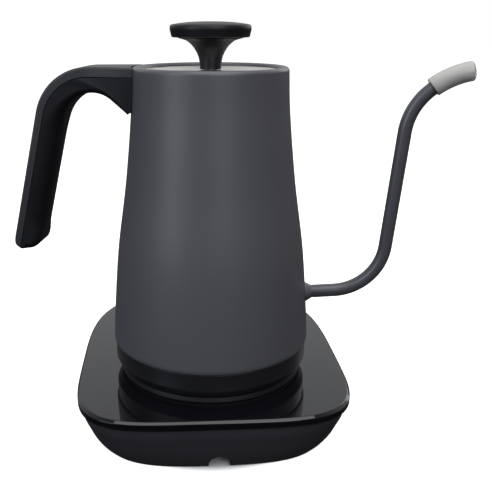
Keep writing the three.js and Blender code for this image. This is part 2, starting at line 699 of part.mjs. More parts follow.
// ---------------------------------------------------------------- assembly
const kettle = new THREE.Group();
kettle.add(
  node("body_shell", bodyShell().subtract(spoutHole()), "body_paint"),
  node("neck_ring", ring(NECK_RING.inner, NECK_RING.outer, NECK_RING.low, NECK_RING.high), "steel"),
  node("heating_plate", heatingPlate(), "steel"),
  node("heating_element", heatingElement(), "aluminium"),
  node("temperature_probe", probe(), "steel"),
  node("thermostat_left", thermostat(1), "aluminium"),
  node("thermostat_right", thermostat(-1), "aluminium"),
  node("body_skirt", skirt(), "satin_black"),
  node("kettle_cover", kettleCover(), "matte_black"),
  node("kettle_connector", kettleConnector(), "nylon"),
  node("contact_ring_outer", contactRing(CONTACT.outer), "brass"),
  node("contact_ring_inner", contactRing(CONTACT.inner), "brass"),
  node("earth_pin", disc(1.8, CONTACT_LOW, SOCKET_ROOF - GAP, SMALL), "brass"),
  node("spout_tube", spoutTube(), "body_paint"),
  node("spout_collar", spoutCollar(), "body_paint"),
  node("spout_strainer", spoutStrainer(), "steel"),
  node("handle_grip", grip(), "soft_black"),
  node("handle_top_strip", topStrip(), "satin_black"),
  node("handle_bracket", handleBracket(), "steel"),
  node("handle_screw_left", handleScrew(1), "steel"),
  node("handle_screw_right", handleScrew(-1), "steel"),
);

const cap = new THREE.Group();
cap.add(node("spout_cap", spoutCap(), "silicone"));

const lid = new THREE.Group();
lid.add(
  node("lid_plate", lidPlate(), "steel"),
  node("lid_skirt", lidSkirt(), "nylon"),
  node("lid_seal", lidSeal(), "seal"),
  node("knob_stem", knobStem(), "soft_black"),
  node("knob_disc", knobDisc(), "soft_black"),
  node("knob_screw", knobScrew(), "steel"),
);

const base = new THREE.Group();
base.rotation.z = BASE_TURN;
base.add(
  node("base_plate", basePlate(), "gloss_black"),
  node("seat_ring", seatRing(), "satin_black"),
  node("base_housing", baseHousing(), "matte_black"),
  node("bottom_cover", bottomCover(), "matte_black"),
  node("base_connector", baseConnector(), "nylon"),
  node("splash_collar", splashCollar(), "nylon"),
  node("touch_panel", touchPanel(), "glass"),
  node("display_module", displayModule(), "matte_black"),
  node("control_board", controlBoard(), "board"),
  node("power_board", powerBoard(), "board"),
  node("transformer", transformer(), "nylon"),
  node("relay", relay(), "nylon"),
  node("capacitor", capacitor(), "aluminium"),
  node("cord_gland", cordGland(), "rubber"),
);
FOOT_SPOTS.forEach((spot, i) => base.add(node(`foot_${i + 1}`, foot(spot), "rubber")));
SCREW_SPOTS.forEach((spot, i) => base.add(node(`base_screw_${i + 1}`, baseScrew(spot), "steel")));

const object = new THREE.Group();
object.add(base, kettle, lid, cap);

export default object;
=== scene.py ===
"""The finish of a gooseneck electric kettle on its cordless base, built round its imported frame.

Shapes are made in the row frame. Profiles are written in millimetres and turned into metres once,
in piece(). Heights come from the frame's own boxes.
"""
import math

import bmesh
import bpy
import numpy as np
from mathutils import Matrix, Vector


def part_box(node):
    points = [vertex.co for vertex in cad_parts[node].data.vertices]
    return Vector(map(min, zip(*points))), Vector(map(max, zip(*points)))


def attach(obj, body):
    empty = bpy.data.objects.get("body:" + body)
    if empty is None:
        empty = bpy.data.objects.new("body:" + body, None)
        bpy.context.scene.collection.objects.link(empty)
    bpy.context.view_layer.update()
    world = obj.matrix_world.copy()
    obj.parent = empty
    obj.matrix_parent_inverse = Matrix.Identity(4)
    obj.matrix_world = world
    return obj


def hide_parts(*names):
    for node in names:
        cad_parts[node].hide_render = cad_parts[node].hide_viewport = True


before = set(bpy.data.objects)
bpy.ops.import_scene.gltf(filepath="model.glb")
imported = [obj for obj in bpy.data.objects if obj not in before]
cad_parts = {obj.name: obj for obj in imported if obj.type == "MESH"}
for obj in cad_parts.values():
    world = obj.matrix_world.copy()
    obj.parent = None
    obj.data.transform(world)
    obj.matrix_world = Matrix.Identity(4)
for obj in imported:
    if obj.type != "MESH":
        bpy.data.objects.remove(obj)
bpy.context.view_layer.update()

MM = 0.001
scene = bpy.context.scene


def low(node):
    """The lowest corner of a CAD node, in millimetres."""
    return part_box(node)[0] / MM


def high(node):
    """The highest corner of a CAD node, in millimetres."""
    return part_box(node)[1] / MM


def middle(node):
    return (low(node) + high(node)) / 2


# ---------------------------------------------------------------- sizes, in millimetres
GAP = 0.3
JOINT = low("body_shell").z  # the seam between the steel body and its skirt
RIM = high("body_shell").z  # top of the rolled lip
SEAT_TOP = high("seat_ring").z
SKIRT_LOW = low("body_skirt").z
PLATE_TOP = high("base_plate").z
PLATE_UNDER = high("base_housing").z + GAP
LID_TOP = high("lid_plate").z
CAVITY = low("base_screw_1").z + 2 + GAP  # the underside of the bottom cover

LIP_ROLL = 2.4
LIP_RADIUS = 43.0
WALL = 1.3
FOOT_ROUND = {"radius": 60.1, "height": 2.8}  # the body's lower edge turns in to this radius
BODY_PROFILE = [(61.4, 0), (59.8, 25), (56.6, 60), (50.8, 100), (46.6, 140), (45.4, 164)]

feet_line = middle("foot_2") - middle("foot_1")
BASE_TURN = math.atan2(feet_line.y, feet_line.x)


# ---------------------------------------------------------------- outlines
def spline(points, steps):
    """Points along a smooth curve through the given ones, evenly shared between them."""
    found = []
    last = len(points) - 1
    for k in range(steps + 1):
        place = last * k / steps
        i = min(int(place), last - 1)
        t = place - i
        p0, p1 = points[max(i - 1, 0)], points[i]
        p2, p3 = points[i + 1], points[min(i + 2, last)]
        point = []
        for a, b, c, d in zip(p0, p1, p2, p3):
            m0, m1 = (c - a) / 2, (d - b) / 2
            point.append((2 * b - 2 * c + m0 + m1) * t**3 + (3 * c - 3 * b - 2 * m0 - m1) * t**2 + m0 * t + b)
        found.append(tuple(point))
    return found


def rounded(corners, steps=6, closed=True):
    """An outline through (a, b, radius) corners, each turned on an arc of its radius."""
    points = []
    count = len(corners)
    for i, (a, b, radius) in enumerate(corners):
        at = Vector((a, b))
        end = not closed and i in (0, count - 1)
        before = Vector(corners[i - 1][:2]) - at
        after = Vector(corners[(i + 1) % count][:2]) - at
        if radius <= 0 or end or before.length < 1e-6 or after.length < 1e-6:
            points.append((a, b))
            continue
        half = before.angle(after) / 2
        reach = min(radius / math.tan(half), 0.48 * before.length, 0.48 * after.length)
        true_radius = reach * math.tan(half)
        centre = at + (before.normalized() + after.normalized()).normalized() * true_radius / math.sin(half)
        start = at + before.normalized() * reach - centre
        turn = start.angle_signed(at + after.normalized() * reach - centre)
        for k in range(steps + 1):
            point = centre + Matrix.Rotation(-turn * k / steps, 2) @ start
            points.append((point.x, point.y))
    return points


def body_side(grow=0.0, steps=72):
    """The body's outer profile from the seam up to the lip, moved out by grow."""
    return [(r + grow, z + JOINT) for r, z in spline(BODY_PROFILE, steps)]


# ---------------------------------------------------------------- meshes
def piece(name, points, faces, material, body, stands_for=(), sharp=38, turn=0.0):
    """A finished piece from points in millimetres, riding on a body in place of CAD nodes."""
    mesh = bpy.data.meshes.new(name)
    mesh.from_pydata([Vector(p) * MM for p in points], [], faces)
    work = bmesh.new()
    work.from_mesh(mesh)
    bmesh.ops.remove_doubles(work, verts=work.verts, dist=1e-7)
    bmesh.ops.dissolve_degenerate(work, edges=work.edges, dist=1e-8)
    bmesh.ops.recalc_face_normals(work, faces=work.faces)
    work.to_mesh(mesh)
    work.free()
    if turn:
        mesh.transform(Matrix.Rotation(turn, 4, "Z"))
    return finished(mesh, name, material, body, stands_for, sharp)


def finished(mesh, name, material, body, stands_for=(), sharp=38):
    mesh.shade_smooth()
    mesh.set_sharp_from_angle(angle=math.radians(sharp))
    made = bpy.data.objects.new(name, mesh)
    scene.collection.objects.link(made)
    mesh.materials.clear()
    mesh.materials.append(material)
    weighted = made.modifiers.new("weighted", "WEIGHTED_NORMAL")
    weighted.keep_sharp = True
    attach(made, body)
    if stands_for:
        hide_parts(*stands_for)
    return made


def grid_faces(rows, columns, close_rows=False, close_columns=True):
    """Quads joining rows of points to each other, each row a ring if close_columns."""
    faces = []
    for j in range(rows if close_rows else rows - 1):
        for i in range(columns if close_columns else columns - 1):
            a, b = j * columns + i, j * columns + (i + 1) % columns
            c, d = ((j + 1) % rows) * columns + (i + 1) % columns, ((j + 1) % rows) * columns + i
            faces.append((a, b, c, d))
    return faces


def lathed(profile, sides=144, closed=True, centre=(0, 0)):
    """Points and faces of a (radius, height) profile turned about a vertical axis."""
    points = []
    for r, z in profile:
        for i in range(sides):
            angle = 2 * math.pi * i / sides
            points.append((centre[0] + r * math.cos(angle), centre[1] + r * math.sin(angle), z))
    return points, grid_faces(len(profile), sides, close_rows=closed)


OUTLINE = {"half_width": 83, "middle_y": 8, "front": 85.3, "back": 116, "front_power": 4.7, "back_power": 3.2}
OUTLINE_SIDES = 320


def outline_point(angle, inset):
    """The point at an angle on the base's outline, drawn in by inset."""
    cos, sin = math.cos(angle), math.sin(angle)
    front = sin < 0
    power = max(OUTLINE["front_power"] - 0.11 * inset, 3) if front else OUTLINE["back_power"]
    reach = (OUTLINE["front"] if front else OUTLINE["back"]) - inset
    x = math.copysign((OUTLINE["half_width"] - inset) * abs(cos) ** (2 / power), cos)
    y = OUTLINE["middle_y"] + math.copysign(reach * abs(sin) ** (2 / power), sin)
    return x, y


def outline_angles():
    """Angles that space the outline's points evenly enough along its straight and round stretches."""
    fine = [2 * math.pi * i / 4000 for i in range(4001)]
    places = [Vector(outline_point(a, 0)) for a in fine]
    run = [0.0]
    for p, q in zip(places, places[1:]):
        run.append(run[-1] + (q - p).length)
    wanted = np.linspace(0, run[-1], OUTLINE_SIDES, endpoint=False)
    return list(np.interp(wanted, run, fine))


ANGLES = outline_angles()


def swept(profile, closed=True):
    """Points and faces of an (inset, height) profile carried round the base's outline."""
    points = []
    for inset, z in profile:
        for angle in ANGLES:
            if inset is None:
                points.append((0, OUTLINE["middle_y"], z))
            else:
                points.append((*outline_point(angle, inset), z))
    return points, grid_faces(len(profile), len(ANGLES), close_rows=closed)


def cut(target, *cutters):
    """Cuts solids out of a piece's mesh and removes them."""
    for cutter in cutters:
        modifier = target.modifiers.new("cut", "BOOLEAN")
        modifier.operation = "DIFFERENCE"
        modifier.solver = "EXACT"
        modifier.object = cutter
    graph = bpy.context.evaluated_depsgraph_get()
    mesh = bpy.data.meshes.new_from_object(target.evaluated_get(graph))
    for cutter in cutters:
        bpy.data.objects.remove(cutter)
    name = target.name
    bpy.data.objects.remove(target)
    return mesh, name


def rough_solid(points, faces, turn=0.0):
    """A bare solid for cutting with, from points in millimetres."""
    mesh = bpy.data.meshes.new("cutter")
    mesh.from_pydata([Vector(p) * MM for p in points], [], faces)
    work = bmesh.new()
    work.from_mesh(mesh)
    bmesh.ops.remove_doubles(work, verts=work.verts, dist=1e-7)
    bmesh.ops.dissolve_degenerate(work, edges=work.edges, dist=1e-8)
    bmesh.ops.recalc_face_normals(work, faces=work.faces)
    work.to_mesh(mesh)
    work.free()
    if turn:
        mesh.transform(Matrix.Rotation(turn, 4, "Z"))
    made = bpy.data.objects.new("cutter", mesh)
    scene.collection.objects.link(made)
    return made


def box_solid(centre, size, turn=0.0):
    corners = [
        [centre[k] + side[k] * size[k] / 2 for k in range(3)]
        for side in [(x, y, z) for x in (-1, 1) for y in (-1, 1) for z in (-1, 1)]
    ]
    faces = [(0, 1, 3, 2), (4, 6, 7, 5), (0, 4, 5, 1), (2, 3, 7, 6), (0, 2, 6, 4), (1, 5, 7, 3)]
    return rough_solid(corners, faces, turn)


# ---------------------------------------------------------------- materials
def material(name, color, roughness, metallic=0.0, grain=900, bump=0.1, depth=0.02, spread=0.05,
             mottle=0.06, patch=22, specular=0.5, coat=0.0, coat_roughness=0.1, stretch=(1, 1, 1)):
    """A surface with fine grain in its bump and roughness, and slow patches in its colour.

    grain and patch are noise scales per metre, depth is the bump's height in millimetres, spread
    is how far the roughness wanders and mottle how far the colour does.
    """
    made = bpy.data.materials.new(name)
    made.use_nodes = True
    nodes, links = made.node_tree.nodes, made.node_tree.links
    shader = nodes["Principled BSDF"]
    shader.inputs["Metallic"].default_value = metallic
    shader.inputs["Specular IOR Level"].default_value = specular
    shader.inputs["Coat Weight"].default_value = coat
    shader.inputs["Coat Roughness"].default_value = coat_roughness
    where = nodes.new("ShaderNodeTexCoord")
    place = nodes.new("ShaderNodeMapping")
    place.inputs["Scale"].default_value = stretch
    links.new(where.outputs["Object"], place.inputs["Vector"])

    patches = nodes.new("ShaderNodeTexNoise")
    patches.inputs["Scale"].default_value = patch
    patches.inputs["Detail"].default_value = 3
    links.new(place.outputs["Vector"], patches.inputs["Vector"])
    tint = nodes.new("ShaderNodeMix")
    tint.data_type = "RGBA"
    tint.inputs["A"].default_value = (*[c * (1 - mottle) for c in color], 1)
    tint.inputs["B"].default_value = (*[min(c * (1 + mottle), 1) for c in color], 1)
    links.new(patches.outputs["Fac"], tint.inputs["Factor"])
    links.new(tint.outputs["Result"], shader.inputs["Base Color"])

    fine = nodes.new("ShaderNodeTexNoise")
    fine.inputs["Scale"].default_value = grain
    fine.inputs["Detail"].default_value = 4
    links.new(place.outputs["Vector"], fine.inputs["Vector"])
    wander = nodes.new("ShaderNodeMapRange")
    wander.inputs["To Min"].default_value = max(roughness - spread, 0.0)
    wander.inputs["To Max"].default_value = roughness + spread
    links.new(fine.outputs["Fac"], wander.inputs["Value"])
    links.new(wander.outputs["Result"], shader.inputs["Roughness"])
    relief = nodes.new("ShaderNodeBump")
    relief.inputs["Strength"].default_value = bump
    relief.inputs["Distance"].default_value = depth * MM
    links.new(fine.outputs["Fac"], relief.inputs["Height"])
    links.new(relief.outputs["Normal"], shader.inputs["Normal"])
    return made


def shader_of(made):
    return made.node_tree.nodes["Principled BSDF"]


def brushed_round(made, amount=0.75):
    """Turns a metal's highlight round the vertical axis, as a lathe-brushed disc has it."""
    nodes, links = made.node_tree.nodes, made.node_tree.links
    shader = shader_of(made)
    shader.inputs["Anisotropic"].default_value = amount
    tangent = nodes.new("ShaderNodeTangent")
    tangent.direction_type = "RADIAL"
    tangent.axis = "Z"
    links.new(tangent.outputs["Tangent"], shader.inputs["Tangent"])
    return made


PAINT = material("satin_grey_paint", (0.078, 0.078, 0.088), 0.4, 0.0, grain=1500, bump=0.12, depth=0.03,
                 spread=0.04, mottle=0.05, patch=14, specular=0.55)
SPOUT_PAINT = material("spout_paint", (0.062, 0.062, 0.072), 0.34, 0.0, grain=1500, bump=0.08, depth=0.02,
                       specular=0.6)
HANDLE_SOFT = material("handle_soft_black", (0.0058, 0.0056, 0.0082), 0.52, grain=2600, bump=0.25, depth=0.03,
                       specular=0.26)
HANDLE_SATIN = material("handle_satin_black", (0.026, 0.0255, 0.031), 0.46, grain=2200, bump=0.12, depth=0.02,
                        specular=0.45)
KNOB_BLACK = material("knob_soft_black", (0.0062, 0.006, 0.0086), 0.44, grain=2600, bump=0.2, depth=0.02,
                      specular=0.32)
SKIRT_BLACK = material("skirt_satin_black", (0.012, 0.012, 0.0145), 0.32, grain=2200, bump=0.1, depth=0.02,
                       specular=0.34)
SEAT_BLACK = material("seat_satin_black", (0.007, 0.007, 0.009), 0.5, grain=2200, bump=0.1, depth=0.02,
                      specular=0.2)
PLATE_GLOSS = material("plate_gloss_black", (0.004, 0.004, 0.0055), 0.035, grain=160, bump=0.02, depth=0.02,
                       spread=0.012, specular=0.5)
HOUSING_MATTE = material("housing_matte_black", (0.034, 0.033, 0.039), 0.6, grain=3000, bump=0.35, depth=0.04,
                         specular=0.3)
STEEL = brushed_round(material("brushed_steel", (0.6, 0.58, 0.56), 0.3, 1.0, grain=700, bump=0.04,
                               depth=0.01))
PLAIN_STEEL = material("plain_steel", (0.55, 0.55, 0.55), 0.32, 1.0, grain=900, bump=0.06, depth=0.01)
INNER_STEEL = material("vessel_steel", (0.58, 0.57, 0.56), 0.26, 1.0, grain=400, bump=0.06, depth=0.02,
                       stretch=(1, 1, 8))
NYLON = material("moulded_nylon", (0.035, 0.035, 0.04), 0.5, grain=2600, bump=0.2, depth=0.03)
RUBBER = material("matte_rubber", (0.012, 0.012, 0.013), 0.8, grain=2200, bump=0.4, depth=0.05, specular=0.25)
SEAL = material("lid_seal_rubber", (0.27, 0.27, 0.265), 0.6, grain=1800, bump=0.2, depth=0.03)
BRASS = material("turned_brass", (0.62, 0.42, 0.16), 0.28, 1.0, grain=900, bump=0.06, depth=0.01)
ALUMINIUM = material("cast_aluminium", (0.5, 0.5, 0.51), 0.45, 1.0, grain=1300, bump=0.3, depth=0.04)
BOARD = material("solder_mask", (0.012, 0.09, 0.045), 0.4, grain=700, bump=0.15, depth=0.03, mottle=0.15)
GLASS = material("panel_glass", (0.006, 0.007, 0.009), 0.03, grain=120, bump=0.01, depth=0.02, spread=0.01)
MARKS = material("panel_marks", (0.42, 0.45, 0.47), 0.4, grain=2500, bump=0.05, depth=0.01, mottle=0.03)


def silicone():
    """Milky soft silicone, through which a dark tube shows blue-grey."""
    made = material("milky_silicone", (0.78, 0.765, 0.74), 0.34, grain=600, bump=0.08, depth=0.03,
                    mottle=0.04)
    shader = shader_of(made)
    shader.inputs["Transmission Weight"].default_value = 0.62
    shader.inputs["IOR"].default_value = 1.41
    return made


SILICONE = silicone()

# ---------------------------------------------------------------- the kettle's body
def make_body():
    outside = body_side()
    roll_height = RIM - LIP_ROLL
    roll = [
        (LIP_RADIUS + LIP_ROLL * math.cos(a), roll_height + LIP_ROLL * math.sin(a))
        for a in np.linspace(0, math.pi * 1.2, 22)[1:]
    ]
    inside = [(r - WALL, z) for r, z in reversed(body_side()[:-6])]
    start_at = 1
    while outside[start_at][1] < JOINT + FOOT_ROUND["height"]:
        start_at += 1
    reach = outside[start_at][0] - FOOT_ROUND["radius"]
    foot = [(FOOT_ROUND["radius"] - 1.1, JOINT), (FOOT_ROUND["radius"] - 0.15, JOINT)]
    for a in np.linspace(0.12, math.pi / 2, 10):
        height = JOINT + FOOT_ROUND["height"] * (1 - math.cos(a))
        foot.append((FOOT_ROUND["radius"] + reach * math.sin(a), height))
    profile = [*foot, *outside[start_at:], *roll, (LIP_RADIUS + 0.4, roll_height - 1.6), *inside[:-3]]
    profile.append((inside[-3][0], JOINT + FOOT_ROUND["height"]))
    points, faces = lathed(profile, 192)
    piece("kettle_body", points, faces, PAINT, "kettle", ["body_shell"], 50)

    neck = rounded([
        (LIP_RADIUS - LIP_ROLL + 0.1, low("neck_ring").z, 0.4),
        (43.6, low("neck_ring").z, 0.2),
        (43.6, high("neck_ring").z, 0.2),
        (LIP_RADIUS - LIP_ROLL + 0.1, high("neck_ring").z, 0.8),
    ], 4)
    points, faces = lathed(neck)
    piece("mouth_ring", points, faces, PLAIN_STEEL, "kettle", ["neck_ring"])

    floor = rounded([
        (0, high("heating_plate").z - 1.6, 0), (44, high("heating_plate").z - 1.6, 2.4),
        (50, high("heating_plate").z, 2.4), (59.2, high("heating_plate").z, 0.5),
        (59.2, low("heating_plate").z, 0.3), (0, low("heating_plate").z, 0),
    ], 6, closed=False)
    points, faces = lathed(floor, closed=False)
    piece("vessel_floor", points, faces, INNER_STEEL, "kettle", ["heating_plate"])


def make_underside():
    skirt = rounded([
        (58.4, JOINT - GAP, 0.2), (60.2, JOINT - GAP, 0.35), (60.2, JOINT - 10.4, 2.2),
        (57, SKIRT_LOW, 0.6), (55.2, SKIRT_LOW, 0.3),
    ], 6)
    points, faces = lathed(skirt, 192)
    piece("kettle_skirt", points, faces, SKIRT_BLACK, "kettle", ["body_skirt"])

    cover = rounded([
        (22.4, JOINT - 11.1, 0.4), (49.5, JOINT - 11.1, 0.8), (50, SEAT_TOP + GAP, 0.5),
        (54, SEAT_TOP + GAP, 0.8), (54.8, JOINT - 9.3, 0.3), (22.4, JOINT - 9.3, 0.3),
    ], 5)
    points, faces = lathed(cover)
    piece("underside_cover", points, faces, HOUSING_MATTE, "kettle", ["kettle_cover"])

    socket = rounded([
        (18.4, JOINT - 14.4, 0.5), (22, JOINT - 14.4, 0.8), (22, JOINT - 2.5, 0.4), (0, JOINT - 2.5, 0),
        (0, JOINT - 4.8, 0), (18.4, JOINT - 4.8, 0.5),
    ], 5)
    points, faces = lathed(socket)
    piece("kettle_socket", points, faces, NYLON, "kettle", ["kettle_connector"])


# ---------------------------------------------------------------- spout
SPOUT_RADIUS = 4.0
SPOUT_WALL = 0.8
TIP_CUT = math.radians(47)  # how far the tip is cut back from square
SPOUT_RUNS = [
    (19.9, None, 5.6, 5.6),
    (None, 32.7, 5.6, 84.9),
    (68.9, None, 84.9, 84.9),
    (None, 35.4, 84.9, 39),
    (None, 48.3, 39, 12),
]


def run_length(run):
    length, bend, start, end = run
    return length if bend is None else bend * math.radians(abs(end - start))


SPOUT_LENGTH = sum(run_length(run) for run in SPOUT_RUNS)


def along_spout(distance):
    """The middle line's point and heading a distance from the body."""
    x, z, left = 57.0, JOINT + 30, distance
    for run in SPOUT_RUNS:
        _, bend, start, end = run
        length = run_length(run)
        part = left if run is SPOUT_RUNS[-1] else min(left, length)
        start = math.radians(start)
        turned_to = start + math.radians(end - run[2]) * part / length
        chord = part if bend is None else 2 * bend * math.sin(abs(turned_to - start) / 2)
        middle_heading = (start + turned_to) / 2
        x += chord * math.cos(middle_heading)
        z += chord * math.sin(middle_heading)
        left -= part
        if left <= 1e-9:
            break
    return x, z, turned_to


def spout_ring(distances, radius, lift=0.0):
    """A ring round the middle line, with its own distance along it for each of its points."""
    sides = len(distances)
    ring = []
    for i, distance in enumerate(distances):
        angle = 2 * math.pi * i / sides
        x, z, heading = along_spout(distance)
        up = lift + radius * math.sin(angle)
        ring.append((x - up * math.sin(heading), radius * math.cos(angle), z + up * math.cos(heading)))
    return ring


def make_spout():
    sides = 48
    tip = []
    for i in range(sides):
        above = SPOUT_RADIUS * (1 + math.sin(2 * math.pi * i / sides))
        tip.append(SPOUT_LENGTH - above * math.tan(TIP_CUT))
    straight_until = SPOUT_LENGTH - 16
    rings = []
    stations = [*np.linspace(0, straight_until, 110)]
    for radius in (SPOUT_RADIUS, SPOUT_RADIUS - SPOUT_WALL):
        side = [spout_ring([s] * sides, radius) for s in stations]
        for t in np.linspace(0, 1, 14)[1:]:
            side.append(spout_ring([straight_until + (end - straight_until) * t for end in tip], radius))
        rings += side if radius == SPOUT_RADIUS else side[::-1]
    points = [p for ring in rings for p in ring]
    faces = grid_faces(len(rings), sides, close_rows=True)
    piece("gooseneck_spout", points, faces, SPOUT_PAINT, "kettle", ["spout_tube"], 50)

    inner = SPOUT_RADIUS - 0.1
    collar = rounded([(inner, 0.4, 0), (6.2, 0.4, 0.4), (5.0, 2.6, 0.9), (inner, 4.6, 0)], 6)
    rings = []
    for radius, distance in collar:
        rings.append(spout_ring([distance + 1.7] * sides, radius))
    points = [p for ring in rings for p in ring]
    faces = grid_faces(len(rings), sides, close_rows=True)
    piece("spout_weld", points, faces, PAINT, "kettle", ["spout_collar"], 60)


CAP = {"length": 21.6, "beyond": 2.2, "radius": 5.6, "wall": 1.1, "end": 1.0, "lift": 0.4}


def make_cap():
    sides = 48
    start, end = SPOUT_LENGTH - CAP["length"], SPOUT_LENGTH + CAP["beyond"]
    outer, inner = CAP["radius"], CAP["radius"] - CAP["wall"]
    profile = [(start + 0.25, inner, 0.1), (start, inner + 0.25, 0.2), (start, outer - 0.3, 0.35)]
    profile += [(s, outer, CAP["lift"]) for s in np.linspace(start + 0.3, end - 1.6, 18)]
    for k in range(1, 8):
        a = math.pi / 2 * k / 8
        profile.append((end - 1.6 + 1.6 * math.sin(a), outer - 1.6 + 1.6 * math.cos(a), CAP["lift"]))
    profile += [(end + 0.0, (outer - 1.6) * t, CAP["lift"]) for t in (1, 0.6, 0.3, 0)]
    profile += [(end - CAP["end"], (inner - 0.6) * t, 0.1) for t in (0, 0.3, 0.6, 1)]
    profile += [(end - CAP["end"] - 0.5, inner, 0.0)]
    profile += [(s, inner, 0.0) for s in np.linspace(end - CAP["end"] - 2, start + 0.6, 18)]
    rings = [spout_ring([s] * sides, r, lift) for s, r, lift in profile]
    points = [p for ring in rings for p in ring]
    faces = grid_faces(len(rings), sides, close_rows=True)
    piece("soft_cap", points, faces, SILICONE, "cap", ["spout_cap"], 60)


# ---------------------------------------------------------------- handle
HANDLE = {"top": RIM - 0.1, "tilt": math.radians(13.8), "half_width": 13.0,
          "through": (-105.4, JOINT + 125.4)}  # through is a point on the grip's outer face
FLARE = {"amount": 0.31, "start": -73.0, "length": 27.0}
BEND = 34  # radius of the bend along the handle's outer face
STRIP = {"top": 5.8, "side": 4.6, "radius": 29}
FOOT = {"low": JOINT + 56.2, "outer": (8.5, 7.5), "inner": (7.5, 8.0), "middle": 8.5}
GRIP_THICK = 16
ARCH = {"below": 14.8, "radius": 19, "end": math.radians(52)}  # the bend along the inner face


def handle_bend(below, inside, radius):
    """The centre of the bend between a line below the top and one inside the grip's outer face."""
    sin, cos = math.sin(HANDLE["tilt"]), math.cos(HANDLE["tilt"])
    px, pz = HANDLE["through"]
    z = HANDLE["top"] - below - radius
    reach = sin * pz - cos * px - inside - radius
    return (sin * z - reach) / cos, z


def grip_line(inside, z):
    px, pz = HANDLE["through"]
    return px - (pz - z) * math.tan(HANDLE["tilt"]) + inside / math.cos(HANDLE["tilt"])


def flare(points):
    """Widens a handle piece as it nears the body."""
    found = []
    for x, y, z in points:
        t = min(max((x - FLARE["start"]) / FLARE["length"], 0), 1)
        found.append((x, y * (1 + FLARE["amount"] * t * t * (3 - 2 * t)), z))
    return found


def rail(below, inside, radius, body_end, steps, foot_points):
    """A line along the handle: level from the body, round the bend, then down the grip."""
    centre = handle_bend(below, inside, radius)
    arm, turn, grip = steps
    points = [(x, HANDLE["top"] - below) for x in np.linspace(body_end, centre[0], arm, endpoint=False)]
    for a in np.linspace(math.pi / 2, math.pi - HANDLE["tilt"], turn, endpoint=False):
        points.append((centre[0] + radius * math.cos(a), centre[1] + radius * math.sin(a)))
    start = centre[1] + radius * math.sin(math.pi - HANDLE["tilt"])
    for z in np.linspace(start, foot_points[0][1], grip, endpoint=False):
        points.append((grip_line(inside, z), z))
    return points + foot_points


def foot_curve(corner, from_inside, to_inside, outer, count):
    """Points round one lower corner of the grip, given as distances inside its outer face."""
    width, height = corner
    found = []
    for k in range(count):
        inside = from_inside + (to_inside - from_inside) * k / (count - 1)
        across = inside if outer else GRIP_THICK - inside
        t = math.sqrt(min(max(across / width, 0), 1))
        z = FOOT["low"] + height * (1 - t) ** 2
        found.append((grip_line(inside, z), z))
    return found


def slab(outer, inner, half_width, radii, steps=5):
    """A solid between two rails, given a width along Y and rims rounded by each point's radius."""
    count = len(outer)
    outline = [Vector(p) for p in outer] + [Vector(p) for p in reversed(inner)]
    total = len(outline)
    area = sum(outline[i - 1].x * outline[i].y - outline[i].x * outline[i - 1].y for i in range(total))
    side = 1 if area > 0 else -1
    inward = []
    for i in range(total):
        back = (outline[i] - outline[i - 1]).normalized()
        on = (outline[(i + 1) % total] - outline[i]).normalized()
        n1, n2 = Vector((-back.y, back.x)) * side, Vector((-on.y, on.x)) * side
        n = (n1 + n2).normalized()
        inward.append(n / max(n.dot(n1), 0.35))
    rows = []
    turns = [math.pi / 2 * k / steps for k in range(steps + 1)]
    for sign in (-1, 1):
        side_rows = []
        for a in reversed(turns):
            row = []
            for p, n, r in zip(outline, inward, radii):
                q = p + n * r * (1 - math.cos(a))
                row.append((q.x, sign * (half_width - r * (1 - math.sin(a))), q.y))
            side_rows.append(row)
        rows += side_rows if sign < 0 else side_rows[::-1]
    points = [p for row in rows for p in row]
    faces = grid_faces(len(rows), total)
    for base in (0, (len(rows) - 1) * total):
        for i in range(count - 1):
            faces.append((base + i, base + i + 1, base + total - 2 - i, base + total - 1 - i))
    return points, faces


def body_cutter(grow):
    profile = [(0, JOINT), *body_side(grow, 60), (LIP_RADIUS + LIP_ROLL + grow, RIM + 9), (0, RIM + 9)]
    return rough_solid(*lathed(profile, 160))


